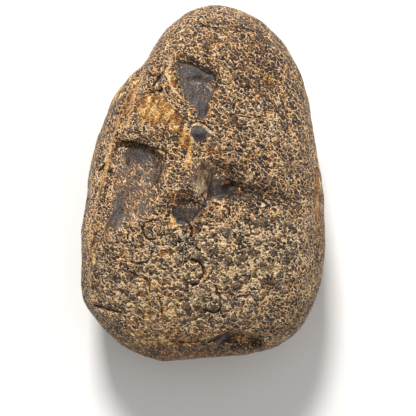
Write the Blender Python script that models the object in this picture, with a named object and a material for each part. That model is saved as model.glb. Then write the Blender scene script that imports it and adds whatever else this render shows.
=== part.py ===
"""A water-worn cobble of petrified wood, as long as a hand, lying on its back.

The stone formed as one piece, so it is one solid. +Z points up out of its broad scarred face,
+Y runs up the stone to its narrow crown, and +X runs to the right of that face. The origin is
under the middle of the stone, on the surface that it rests on. Places on the face are given in
millimetres from the middle of the stone's outline.
"""

import math
from typing import NamedTuple

import bmesh
import bpy
import numpy as np
from mathutils import Vector, noise

MM = 0.001

# The whole stone, in millimetres. Heights are taken from its waist, where it is widest.
HALF_LENGTH = 66.0
HALF_WIDTH = 46.0
FACE_RISE = 28.5
BACK_DROP = 27.0
REST_DROP = 26.0

# The surface is a cube's grid of faces, drawn closer together on the scarred face.
CELLS = 28
FACE_PULL = 0.25
# No wall, groove or ridge is narrower than this grid can show.
NARROWEST = 2.4

# The outline at the waist: degrees round from the right, then the share of the half width and
# half length. The left side dips at 123 degrees, where the crown meets the shoulder.
OUTLINE = [
    (0, 0.960), (12, 0.945), (24, 0.955), (36, 0.984), (48, 1.015), (58, 1.026), (70, 1.023),
    (82, 1.008), (92, 0.989), (102, 0.955), (108, 0.926), (112, 0.902), (117, 0.871),
    (123, 0.829), (132, 0.828), (142, 0.863), (156, 0.872), (170, 0.895), (184, 0.955),
    (197, 1.046), (206, 1.108), (214, 1.174), (226, 1.167), (238, 1.110), (250, 1.055),
    (262, 1.012), (276, 0.999), (290, 1.040), (304, 1.103), (318, 1.115), (334, 1.087),
    (348, 1.010),
]
# Further in, the stone follows a plainer egg, with no dip.
EGG = [
    (0, 0.96), (45, 1.00), (90, 0.97), (135, 0.89), (180, 0.95), (218, 1.10), (270, 1.00),
    (315, 1.10),
]
EDGE_SHARE = 6.0
# How square the shoulder is between the waist and the face: 2 is round, 3 is boxy.
FULLNESS = [(0, 2.5), (60, 2.35), (120, 2.6), (180, 3.0), (235, 2.7), (290, 2.5)]
BACK_FULLNESS = 2.3


class Hollow(NamedTuple):
    """A chipped or worn place: its rim is (x, y, how far its wall takes to reach the floor)."""

    rim: list
    deepest: tuple
    depth: float
    slope: tuple


class Line(NamedTuple):
    """A groove, or a ridge where height is positive, along points of (x, y, share of height)."""

    points: list
    height: float
    half_width: float


class Lump(NamedTuple):
    """A round swelling, or a dent where height is negative."""

    middle: tuple
    size: tuple
    height: float


# Depth is lost by slope, in millimetres for each millimetre towards +X and +Y.
FACE_HOLLOWS = {
    "crown scar": Hollow(
        [
            (-10.5, 44.5, 1.2), (-6.5, 43.5, 0.8), (-3.0, 41.5, 0.8), (0.5, 39.5, 0.8),
            (4.0, 37.0, 1.2), (5.0, 33.5, 1.6), (3.0, 31.0, 2.0), (1.0, 28.0, 1.6),
            (-1.5, 21.5, 1.6), (-4.0, 26.0, 1.8), (-7.5, 30.5, 2.0), (-11.0, 34.0, 1.8),
            (-11.5, 39.0, 1.4),
        ],
        (-3.0, 41.0), 2.1, (0.02, -0.06),
    ),
    "drop scar": Hollow(
        [
            (-5.0, 19.5, 1.2), (-1.0, 20.5, 1.0), (3.0, 17.0, 1.2), (0.5, 15.0, 1.6),
            (-2.0, 13.5, 1.6), (-4.5, 15.5, 1.4),
        ],
        (-1.5, 18.5), 1.2, (0.0, -0.05),
    ),
    "left basin": Hollow(
        [
            (-32.5, 14.5, 2.0), (-28.0, 15.3, 1.4), (-22.5, 14.0, 1.4), (-17.5, 12.0, 1.6),
            (-13.5, 8.5, 2.6), (-12.0, 2.0, 5.0), (-12.0, -5.0, 5.0), (-14.5, -12.0, 5.0),
            (-20.0, -18.0, 7.0), (-27.0, -20.0, 7.0), (-33.5, -15.0, 4.0),
            (-36.0, -6.0, 3.0), (-35.0, 2.0, 3.0), (-33.5, 9.0, 2.4),
        ],
        (-24.0, 12.0), 4.4, (0.0, -0.12),
    ),
    "heart hollow": Hollow(
        [
            (-2.0, 7.0, 6.0), (4.0, 9.0, 6.0), (9.5, 7.5, 5.0), (12.5, 3.0, 4.0),
            (13.5, -2.0, 3.0), (9.5, -6.5, 2.0), (5.0, -7.0, 1.6), (1.0, -8.5, 1.8),
            (-2.0, -5.5, 6.0), (-4.0, -1.0, 8.0), (-4.0, 4.0, 7.0),
        ],
        (6.5, -1.0), 4.0, (-0.05, 0.10),
    ),
    "lower smooth": Hollow(
        [
            (-12.5, -5.5, 3.0), (-6.0, -4.0, 3.5), (0.0, -7.0, 2.0), (-1.0, -11.0, 2.4),
            (-3.5, -15.5, 2.0), (-8.0, -17.0, 2.0), (-12.5, -15.0, 2.4),
        ],
        (-5.0, -8.0), 1.5, (0.02, -0.05),
    ),
    "foot chip": Hollow(
        [
            (7.5, -51.5, 1.8), (12.0, -51.5, 1.4), (17.0, -52.5, 1.4), (22.5, -56.0, 1.8),
            (26.0, -60.5, 2.4), (18.0, -64.0, 4.0), (9.5, -61.0, 3.0), (6.5, -56.0, 2.4),
        ],
        (16.0, -55.0), 3.2, (-0.02, -0.05),
    ),
}
BACK_HOLLOWS = {
    "long worn facet": Hollow(
        [
            (22.0, 34.0, 7.0), (33.0, 20.0, 6.0), (38.0, -6.0, 6.0), (34.0, -26.0, 7.0),
            (26.0, -22.0, 7.0), (24.0, 4.0, 8.0),
        ],
        (33.0, 4.0), 2.4, (-0.04, 0.0),
    ),
    "heel chip": Hollow(
        [
            (-22.0, -44.0, 2.0), (-12.0, -46.0, 1.6), (-6.0, -52.0, 2.4), (-12.0, -60.0, 4.0),
            (-26.0, -56.0, 4.0), (-30.0, -49.0, 3.0),
        ],
        (-16.0, -48.0), 2.6, (0.02, 0.06),
    ),
}
FACE_LINES = {
    "shoulder crease": Line(
        [(-22.5, 46.0, 1.0), (-23.0, 39.0, 1.0), (-25.0, 32.0, 0.7), (-30.0, 20.0, 0.0)],
        -2.0, 2.6,
    ),
    "flank ridge": Line(
        [
            (-30.5, 20.0, 0.3), (-34.5, 6.0, 1.0), (-38.0, -8.0, 1.0), (-40.0, -22.0, 0.8),
            (-40.5, -36.0, 0.0),
        ],
        1.1, 2.4,
    ),
    "right valley": Line(
        [
            (9.0, -2.0, 1.0), (16.5, -4.5, 0.9), (23.5, -6.0, 0.7), (31.0, -8.0, 0.45),
            (36.0, -8.5, 0.0),
        ],
        -2.3, 3.6,
    ),
    "crown scar crease": Line(
        [(-10.5, 35.5, 0.4), (-5.0, 34.5, 1.0), (-1.0, 35.0, 1.0), (3.0, 33.0, 0.5)],
        0.8, 2.2,
    ),
    "rusty vein": Line(
        [(-19.0, -36.5, 0.5), (-20.0, -42.0, 1.0), (-22.0, -49.5, 1.0), (-23.0, -55.0, 0.3)],
        0.6, 1.8,
    ),
    "low left ledge": Line([(-39.0, -42.5, 0.6), (-33.0, -44.5, 1.0), (-26.0, -47.5, 0.4)], -1.0, 2.0),
}
FACE_LUMPS = {
    "shelf over the basin": Lump((-24.0, 18.5), (8.0, 3.4), 1.3),
    "shoulder": Lump((-31.5, 30.0), (5.0, 9.0), 1.0),
    "brow": Lump((1.0, 46.5), (10.0, 5.0), 1.0),
    "spine between hollows": Lump((-7.5, 6.0), (3.6, 9.0), 0.8),
    "ledge under the heart": Lump((6.5, -10.5), (6.0, 2.8), 0.9),
    "crown pit": Lump((-17.0, 37.0), (2.2, 1.8), -1.8),
    "side pit": Lump((-17.5, 31.8), (3.0, 1.6), -1.6),
    "dark pit": Lump((16.0, -13.8), (1.8, 1.8), -1.8),
}


class Ring(NamedTuple):
    """A round growth mark: a groove round a low boss, as a branch scar leaves."""

    middle: tuple
    radius: float
    depth: float


RINGS = {
    "large ring": Ring((-5.0, -33.0), 4.6, 0.9),
    "left ring": Ring((-18.5, -17.5), 3.2, 0.6),
    "middle ring": Ring((-8.5, -18.0), 3.8, 0.5),
}
RING_HALF_WIDTH = 2.2

# Slow unevenness all over: (distance between swellings, height).
SWELLINGS = [(34.0, 1.3), (13.0, 0.75), (6.5, 0.4)]
# The wood's grain runs up the stone as low ribs, plainest on its left flank and its back.
GRAIN_SPACING = (6.0, 60.0, 6.0)
GRAIN_HEIGHT = 0.3
FLANK_GRAIN_HEIGHT = 0.8
HOLLOW_SMOOTHNESS = 0.7
FACE_START = 5.0


def ease(share):
    """0 to 1 with a soft start and end."""
    share = np.clip(share, 0.0, 1.0)
    return share * share * (3.0 - 2.0 * share)


def round_curve(stations, degrees):
    """The value at each angle on a smooth closed curve through (degrees, value) stations."""
    angle, value = np.array(stations, float).T
    angle = np.concatenate([angle[-2:] - 360.0, angle, angle[:3] + 360.0])
    value = np.concatenate([value[-2:], value, value[:3]])
    slope = np.gradient(value, angle)
    k = np.clip(np.searchsorted(angle, degrees, side="right") - 1, 1, len(angle) - 3)
    width = angle[k + 1] - angle[k]
    t = (degrees - angle[k]) / width
    return (
        value[k] * (1 + 2 * t) * (1 - t) ** 2
        + value[k + 1] * t * t * (3 - 2 * t)
        + width * t * (1 - t) * (slope[k] * (1 - t) - slope[k + 1] * t)
    )


def stone_form(directions):
    """The worn egg before any scars: points in millimetres, from directions out of its middle."""
    x, y, z = directions.T
    degrees = np.degrees(np.arctan2(y, x)) % 360.0
    lean = np.hypot(x, y)
    on_face = z > 0.0
    full = np.where(on_face, round_curve(FULLNESS, degrees), BACK_FULLNESS)
    reach = (lean**full + np.abs(z) ** full) ** (-1.0 / full)
    out = reach * lean
    edge = out**EDGE_SHARE
    radius = round_curve(EGG, degrees) * (1.0 - edge) + round_curve(OUTLINE, degrees) * edge
    rise = np.where(on_face, FACE_RISE, BACK_DROP)
    turn = np.radians(degrees)
    return np.column_stack([
        HALF_WIDTH * radius * out * np.cos(turn),
        HALF_LENGTH * radius * out * np.sin(turn),
        rise * reach * z,
    ])


def nearest_on(points, start, end):
    """Each point's distance to a straight run, and how far along the run it lies, 0 to 1."""
    run = np.subtract(end, start)
    along = np.clip((points - start) @ run / (run @ run), 0.0, 1.0)
    return np.hypot(*(points - start - along[:, None] * run).T), along


def inside(points, corners):
    """True for each point within the closed outline."""
    x, y = points.T
    within = np.zeros(len(points), bool)
    for (ax, ay), (bx, by) in zip(corners, corners[1:] + corners[:1]):
        crosses = (ay > y) != (by > y)
        with np.errstate(divide="ignore", invalid="ignore"):
            within ^= crosses & (x < (bx - ax) * (y - ay) / (by - ay) + ax)
    return within


def hollow_depth(points, hollow):
    """How deep a hollow lies under each point, and how far each is past its lip, 0 to 1."""
    share = np.ones(len(points))
    for (ax, ay, a_lip), (bx, by, b_lip) in zip(hollow.rim, hollow.rim[1:] + hollow.rim[:1]):
        gap, along = nearest_on(points, (ax, ay), (bx, by))
        lip = np.maximum(a_lip + along * (b_lip - a_lip), NARROWEST)
        share = np.minimum(share, gap / lip)
    share = ease(share) * inside(points, [(x, y) for x, y, _ in hollow.rim])
    floor = hollow.depth - (points - hollow.deepest) @ np.array(hollow.slope)
    floor = np.where(floor > 0.0, floor, 0.0)
    return floor * share, share


def line_height(points, line):
    """A groove's or ridge's height at each point, rounded across and fading with its shares."""
    height = np.zeros(len(points))
    reach = max(line.half_width, NARROWEST)
    for (ax, ay, a_share), (bx, by, b_share) in zip(line.points, line.points[1:]):
        gap, along = nearest_on(points, (ax, ay), (bx, by))
        here = ease(1.0 - gap / reach) * (a_share + along * (b_share - a_share))
        height = np.maximum(height, here)
    return height * line.height


def lump_height(points, lump):
    away = (points - lump.middle) / lump.size
    return lump.height * np.exp(-np.sum(away * away, axis=1))


def ring_height(points, ring):
    gap = np.abs(np.hypot(*(points - ring.middle).T) - ring.radius)
    return -ring.depth * ease(1.0 - gap / RING_HALF_WIDTH)


def relief(points, hollows, lines=(), lumps=(), rings=()):
    """Height to add at each point seen from above, and how smooth the hollows make it."""
    height = np.zeros(len(points))
    smooth = np.zeros(len(points))
    for line in lines:
        height += line_height(points, line)
    for lump in lumps:
        height += lump_height(points, lump)
    for ring in rings:
        height += ring_height(points, ring)
    for hollow in hollows:
        depth, share = hollow_depth(points, hollow)
        height -= depth
        smooth = np.maximum(smooth, share)
    return height, smooth


def bumps(points, spacing):
    """Smooth noise from about -1 to 1, with its swellings this far apart."""
    return np.array([noise.noise(Vector(p)) for p in points / spacing])


def swelling(points):
    """Slow natural unevenness and low ribs of grain, in millimetres."""
    x, _, z = points.T
    height = sum(size * bumps(points, spacing) for spacing, size in SWELLINGS)
    flank = ease(np.maximum(-x / HALF_WIDTH, -z / BACK_DROP))
    ribs = GRAIN_HEIGHT + (FLANK_GRAIN_HEIGHT - GRAIN_HEIGHT) * flank
    return height + ribs * bumps(points, np.array(GRAIN_SPACING))


def carve(form):
    """The worn egg with its hollows, ledges, ridges, rings and lumps."""
    seen_from_above = form[:, :2]
    face, face_smooth = relief(
        seen_from_above, FACE_HOLLOWS.values(), FACE_LINES.values(), FACE_LUMPS.values(),
        RINGS.values(),
    )
    back, back_smooth = relief(seen_from_above, BACK_HOLLOWS.values())
    on_face = ease(form[:, 2] / FACE_START)
    on_back = ease(-form[:, 2] / FACE_START)
    smooth = on_face * face_smooth + on_back * back_smooth
    outward = form / np.array([HALF_WIDTH, HALF_LENGTH, FACE_RISE]) ** 2
    outward /= np.linalg.norm(outward, axis=1)[:, None]
    lumpy = swelling(form) * (1.0 - HOLLOW_SMOOTHNESS * smooth)
    carved = form + outward * lumpy[:, None]
    carved[:, 2] += on_face * face - on_back * back
    return carved


def settle(points):
    """The flat worn underside, and the stone's middle brought over the origin."""
    points[:, 2] = np.maximum(points[:, 2], -REST_DROP)
    low, high = points.min(axis=0), points.max(axis=0)
    return points - np.array([(low[0] + high[0]) / 2, (low[1] + high[1]) / 2, low[2]])


def stone_mesh():
    bm = bmesh.new()
    bmesh.ops.create_cube(bm, size=2.0)
    bmesh.ops.subdivide_edges(bm, edges=bm.edges[:], cuts=CELLS - 1, use_grid_fill=True)
    grid = np.tan(np.array([v.co for v in bm.verts]) * math.pi / 4)
    directions = grid / np.linalg.norm(grid, axis=1)[:, None]
    tip = np.arccos(np.clip(directions[:, 2], -1.0, 1.0))
    tip -= FACE_PULL * np.sin(tip)
    flat = np.hypot(directions[:, 0], directions[:, 1]) + 1e-12
    directions[:, :2] *= (np.sin(tip) / flat)[:, None]
    directions[:, 2] = np.cos(tip)
    for vert, place in zip(bm.verts, settle(carve(stone_form(directions)))):
        vert.co = place * MM
    bmesh.ops.triangulate(bm, faces=bm.faces[:], quad_method="SHORT_EDGE")
    bmesh.ops.recalc_face_normals(bm, faces=bm.faces[:])
    mesh = bpy.data.meshes.new("petrified_wood")
    bm.to_mesh(mesh)
    bm.free()
    mesh.shade_smooth()
    return mesh


def stone_material():
    """Silica-replaced wood: a dull brown and charcoal stone, worn nearly smooth."""
    material = bpy.data.materials.new("petrified_wood")
    material.use_nodes = True
    shader = material.node_tree.nodes["Principled BSDF"]
    shader.inputs["Base Color"].default_value = (0.238, 0.159, 0.093, 1.0)
    shader.inputs["Roughness"].default_value = 0.62
    shader.inputs["Metallic"].default_value = 0.0
    return material


def build():
    for thing in list(bpy.data.objects):
        bpy.data.objects.remove(thing)
    mesh = stone_mesh()
    mesh.materials.append(stone_material())
    bpy.context.scene.collection.objects.link(bpy.data.objects.new("petrified_wood", mesh))


build()
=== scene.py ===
"""A water-worn cobble of petrified wood, lying on its back with its scarred face up.

The stone is one piece. Its fine surface is drawn over the same worn egg as its solid, with the
same hollows, ridges and rings. All of it is in millimetres from the middle of its outline until
it is moved to the solid's place. +Z points out of the scarred face, and +Y runs up the stone to
its narrow crown.
"""

import math
from typing import NamedTuple

import bpy
import numpy as np
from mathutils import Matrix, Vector, noise


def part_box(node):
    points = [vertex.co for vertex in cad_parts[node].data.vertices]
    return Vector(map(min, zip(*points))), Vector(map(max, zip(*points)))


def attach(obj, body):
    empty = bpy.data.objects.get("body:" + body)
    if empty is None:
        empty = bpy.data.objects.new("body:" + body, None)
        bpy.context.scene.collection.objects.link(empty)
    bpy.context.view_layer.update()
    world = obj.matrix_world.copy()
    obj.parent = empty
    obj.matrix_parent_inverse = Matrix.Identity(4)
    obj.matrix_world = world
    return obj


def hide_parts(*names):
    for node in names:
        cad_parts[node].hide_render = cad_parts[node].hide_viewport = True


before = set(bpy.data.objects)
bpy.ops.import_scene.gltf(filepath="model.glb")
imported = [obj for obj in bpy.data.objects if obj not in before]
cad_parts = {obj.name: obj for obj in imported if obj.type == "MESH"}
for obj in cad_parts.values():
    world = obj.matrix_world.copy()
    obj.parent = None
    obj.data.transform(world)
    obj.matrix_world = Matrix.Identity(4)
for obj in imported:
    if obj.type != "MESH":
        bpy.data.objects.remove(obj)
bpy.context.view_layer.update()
STONE_BOX = np.array(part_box("petrified_wood"))

MM = 0.001

# --- The stone's form ---
# These are its solid's values, but its hollows, pits, rings and some lines are cut sharper.
HALF_LENGTH = 66.0
HALF_WIDTH = 46.0
FACE_RISE = 28.5
BACK_DROP = 27.0
REST_DROP = 26.0
# The outline and the plain egg inside it: (degrees anticlockwise from +X, share of the half width
# or half length). The higher EDGE_SHARE is, the nearer the edge the outline takes over.
OUTLINE = [
    (0, 0.960), (12, 0.945), (24, 0.955), (36, 0.984), (48, 1.015), (58, 1.026), (70, 1.023),
    (82, 1.008), (92, 0.989), (102, 0.955), (108, 0.926), (112, 0.902), (117, 0.871),
    (123, 0.829), (132, 0.828), (142, 0.863), (156, 0.872), (170, 0.895), (184, 0.955),
    (197, 1.046), (206, 1.108), (214, 1.174), (226, 1.167), (238, 1.110), (250, 1.055),
    (262, 1.012), (276, 0.999), (290, 1.040), (304, 1.103), (318, 1.115), (334, 1.087),
    (348, 1.010),
]
EGG = [
    (0, 0.96), (45, 1.00), (90, 0.97), (135, 0.89), (180, 0.95), (218, 1.10), (270, 1.00),
    (315, 1.10),
]
EDGE_SHARE = 6.0
# How square the stone is from its edge to the middle of its face, at each angle, and at its back.
FULLNESS = [(0, 2.5), (60, 2.35), (120, 2.6), (180, 3.0), (235, 2.7), (290, 2.5)]
BACK_FULLNESS = 2.3

# The skin is a cube's grid of faces, drawn closer together on the scarred face.
CELLS = 127
FACE_PULL = 0.25


class Hollow(NamedTuple):
    """A chipped or worn place: its rim is (x, y, how far its wall takes to reach the floor).

    Its floor is at depth under its deepest point, and slope is how much that lessens with each
    millimetre to the right and up the stone.
    """

    rim: list
    deepest: tuple
    depth: float
    slope: tuple


class Line(NamedTuple):
    """A groove, or a ridge where height is positive, along points of (x, y, share of height)."""

    points: list
    height: float
    half_width: float


class Lump(NamedTuple):
    """A round swelling, or a dent where height is negative."""

    middle: tuple
    size: tuple
    height: float


class Ring(NamedTuple):
    """A round growth mark: a groove round a low boss, as a branch scar leaves."""

    middle: tuple
    radius: float
    depth: float


FACE_HOLLOWS = {
    "crown scar": Hollow(
        [
            (-10.9, 44.2, 1.6), (-7.1, 43.5, 0.9), (-4.5, 42.9, 0.7), (-2.2, 41.7, 0.7),
            (0.5, 39.9, 0.7), (3.2, 40.6, 1.6), (5.0, 37.9, 2.0), (5.9, 34.7, 2.2),
            (4.0, 30.3, 2.2), (2.2, 27.7, 1.8), (1.0, 23.3, 1.6), (-1.0, 21.0, 1.8),
            (-3.8, 24.4, 3.0), (-7.0, 27.7, 4.0), (-9.5, 31.5, 4.5), (-10.9, 35.6, 4.5),
            (-11.2, 40.0, 3.6),
        ],
        (3.0, 40.0), 1.9, (-0.10, -0.07),
    ),
    "drop scar": Hollow(
        [
            (-5.2, 20.0, 1.2), (-2.7, 20.6, 1.2), (0.2, 19.8, 1.2), (3.6, 16.6, 1.2),
            (1.4, 15.0, 2.2), (-0.6, 13.2, 2.4), (-4.0, 13.2, 2.4), (-5.6, 16.5, 1.8),
        ],
        (-1.5, 18.5), 0.2, (0.0, 0.0),
    ),
    "left basin": Hollow(
        [
            (-33.0, 14.5, 3.0), (-28.0, 15.3, 1.4), (-22.5, 14.0, 1.4), (-17.5, 12.0, 1.8),
            (-13.5, 8.5, 4.0), (-12.0, 2.0, 7.0), (-12.0, -5.0, 7.0), (-14.5, -12.0, 7.0),
            (-20.0, -18.0, 9.0), (-27.0, -20.0, 9.0), (-34.5, -15.0, 8.0),
            (-37.0, -6.0, 8.0), (-36.0, 2.0, 8.0), (-34.5, 9.0, 6.0),
        ],
        (-22.0, 12.0), 3.6, (-0.03, -0.11),
    ),
    "heart hollow": Hollow(
        [
            (-2.0, 7.0, 7.0), (4.0, 9.0, 5.5), (9.5, 7.5, 5.5), (13.5, 3.0, 5.0),
            (14.5, -2.0, 4.0), (9.5, -6.5, 2.0), (5.0, -7.0, 1.6), (1.0, -8.5, 1.8),
            (-2.0, -5.5, 6.0), (-4.0, -1.0, 8.0), (-4.0, 4.0, 8.0),
        ],
        (6.0, 1.5), 3.3, (-0.04, -0.04),
    ),
    "lower smooth": Hollow(
        [
            (-13.5, -5.5, 4.0), (-6.0, -4.0, 4.0), (0.0, -7.0, 2.4), (-0.5, -11.0, 3.0),
            (-3.5, -15.5, 3.0), (-8.0, -17.0, 3.4), (-13.5, -15.5, 4.0),
        ],
        (-5.0, -8.0), 1.5, (0.02, -0.05),
    ),
    "foot chip": Hollow(
        [
            (8.0, -54.6, 1.8), (12.0, -54.2, 1.6), (17.0, -54.8, 1.6), (21.5, -57.2, 2.0),
            (23.0, -60.0, 2.4), (16.5, -62.5, 4.0), (9.5, -61.5, 3.0), (6.0, -58.0, 2.6),
        ],
        (15.0, -56.5), 3.8, (-0.02, -0.12),
    ),
}
BACK_HOLLOWS = {
    "long worn facet": Hollow(
        [
            (22.0, 34.0, 7.0), (33.0, 20.0, 6.0), (38.0, -6.0, 6.0), (34.0, -26.0, 7.0),
            (26.0, -22.0, 7.0), (24.0, 4.0, 8.0),
        ],
        (33.0, 4.0), 2.4, (-0.04, 0.0),
    ),
    "heel chip": Hollow(
        [
            (-22.0, -44.0, 2.0), (-12.0, -46.0, 1.6), (-6.0, -52.0, 2.4), (-12.0, -60.0, 4.0),
            (-26.0, -56.0, 4.0), (-30.0, -49.0, 3.0),
        ],
        (-16.0, -48.0), 2.6, (0.02, 0.06),
    ),
}
FACE_LINES = {
    "shoulder crease": Line(
        [(-22.5, 46.0, 1.0), (-23.0, 39.0, 1.0), (-25.0, 32.0, 0.7), (-30.0, 20.0, 0.0)],
        -2.0, 2.6,
    ),
    "flank ridge": Line(
        [
            (-30.5, 20.0, 0.3), (-34.5, 6.0, 1.0), (-38.0, -8.0, 1.0), (-40.0, -22.0, 0.8),
            (-40.5, -36.0, 0.0),
        ],
        1.1, 1.4,
    ),
    "right valley": Line(
        [
            (9.0, -2.0, 1.0), (16.5, -4.5, 0.9), (23.5, -6.0, 0.7), (31.0, -8.0, 0.45),
            (36.0, -8.5, 0.0),
        ],
        -2.3, 3.6,
    ),
    "crown scar crease": Line(
        [
            (-9.0, 35.6, 0.3), (-5.0, 35.8, 0.9), (-2.0, 36.2, 1.0), (1.2, 35.2, 1.0),
            (3.8, 33.0, 0.7),
        ],
        -0.7, 2.4,
    ),
    "rusty vein": Line(
        [(-19.0, -36.5, 0.5), (-20.0, -42.0, 1.0), (-22.0, -49.5, 1.0), (-23.0, -55.0, 0.3)],
        0.6, 1.8,
    ),
    "low left ledge": Line(
        [(-39.0, -42.5, 0.6), (-33.0, -44.5, 1.0), (-26.0, -47.5, 0.4)], -1.0, 2.0,
    ),
}
FACE_LUMPS = {
    "shelf over the basin": Lump((-24.0, 18.5), (8.0, 3.4), 1.3),
    "shoulder": Lump((-31.5, 30.0), (5.0, 9.0), 1.0),
    "brow": Lump((1.0, 46.5), (10.0, 5.0), 1.0),
    "spine between hollows": Lump((-7.5, 6.0), (3.6, 9.0), 0.8),
    "ledge under the heart": Lump((6.5, -10.5), (6.0, 2.8), 0.9),
    "drop scar knob": Lump((-1.4, 17.0), (4.0, 2.8), 1.2),
    "crown pit": Lump((-17.0, 37.0), (1.6, 1.3), -1.8),
    "side pit": Lump((-17.5, 31.8), (2.6, 1.0), -1.6),
    "dark pit": Lump((16.0, -13.8), (1.2, 1.1), -1.2),
}
RINGS = {
    "large ring": Ring((-5.0, -33.0), 4.6, 0.9),
    "left ring": Ring((-18.5, -17.5), 3.2, 0.6),
    "middle ring": Ring((-8.5, -18.0), 3.8, 0.5),
}
RING_HALF_WIDTH = 1.0
# Natural unevenness: (distance between swellings, height), and ribs of grain up the stone, which
# are higher on the left flank and the back. Hollow floors have lost HOLLOW_SMOOTHNESS of it all.
SWELLINGS = [(34.0, 1.3), (13.0, 0.75), (6.5, 0.4)]
GRAIN_SPACING = (6.0, 60.0, 6.0)
GRAIN_HEIGHT = 0.3
FLANK_GRAIN_HEIGHT = 0.8
HOLLOW_SMOOTHNESS = 0.7
# What is only on the face, or only on the back, is whole this far above or below the widest line.
FACE_START = 5.0

# --- The fine surface, which the solid doesn't have ---
# Single plates and seams of silica stand up with round edges, and cracks are cut in.
PLATE_HEIGHT = 0.3
PLATE_RIM = 0.6
SEAM_HEIGHT = 0.35
CRACK_DEPTH = 0.7
# How far the edges of plates, of seams and stains, and of cracks wander, and how far apart their
# bends are. The sway's two parts are the same noise, read SWAY_APART from each other.
PLATE_SWAY = 0.6
LINE_SWAY = 0.9
CRACK_SWAY = 0.4
SWAY_SPACING = 3.0
SWAY_APART = 50.0
# Grit: (distance between grains, height).
GRIT = [(2.4, 0.14), (1.2, 0.08)]
# On a hollow's wall the wear is full this many times sooner than the depth. A wholly bare floor
# has lost WEAR_LOSS of the fine surface, and POLISH is how bare and smooth each floor is worn.
WALL_WEAR = 2.0
WEAR_LOSS = 0.9
POLISH = {
    "crown scar": 0.66, "drop scar": 0.8, "left basin": 0.5, "heart hollow": 0.3,
    "lower smooth": 0.64, "foot chip": 0.35, "long worn facet": 0.5, "heel chip": 0.8,
}


class Trace(NamedTuple):
    """A thin crack or seam: how far its sides slope, and its points."""

    width: float
    points: list


class Patch(NamedTuple):
    """An oval place on the face, turned anticlockwise in degrees, and how strong it is."""

    x: float
    y: float
    half_width: float
    half_height: float
    turn: float = 0.0
    strength: float = 1.0


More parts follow.
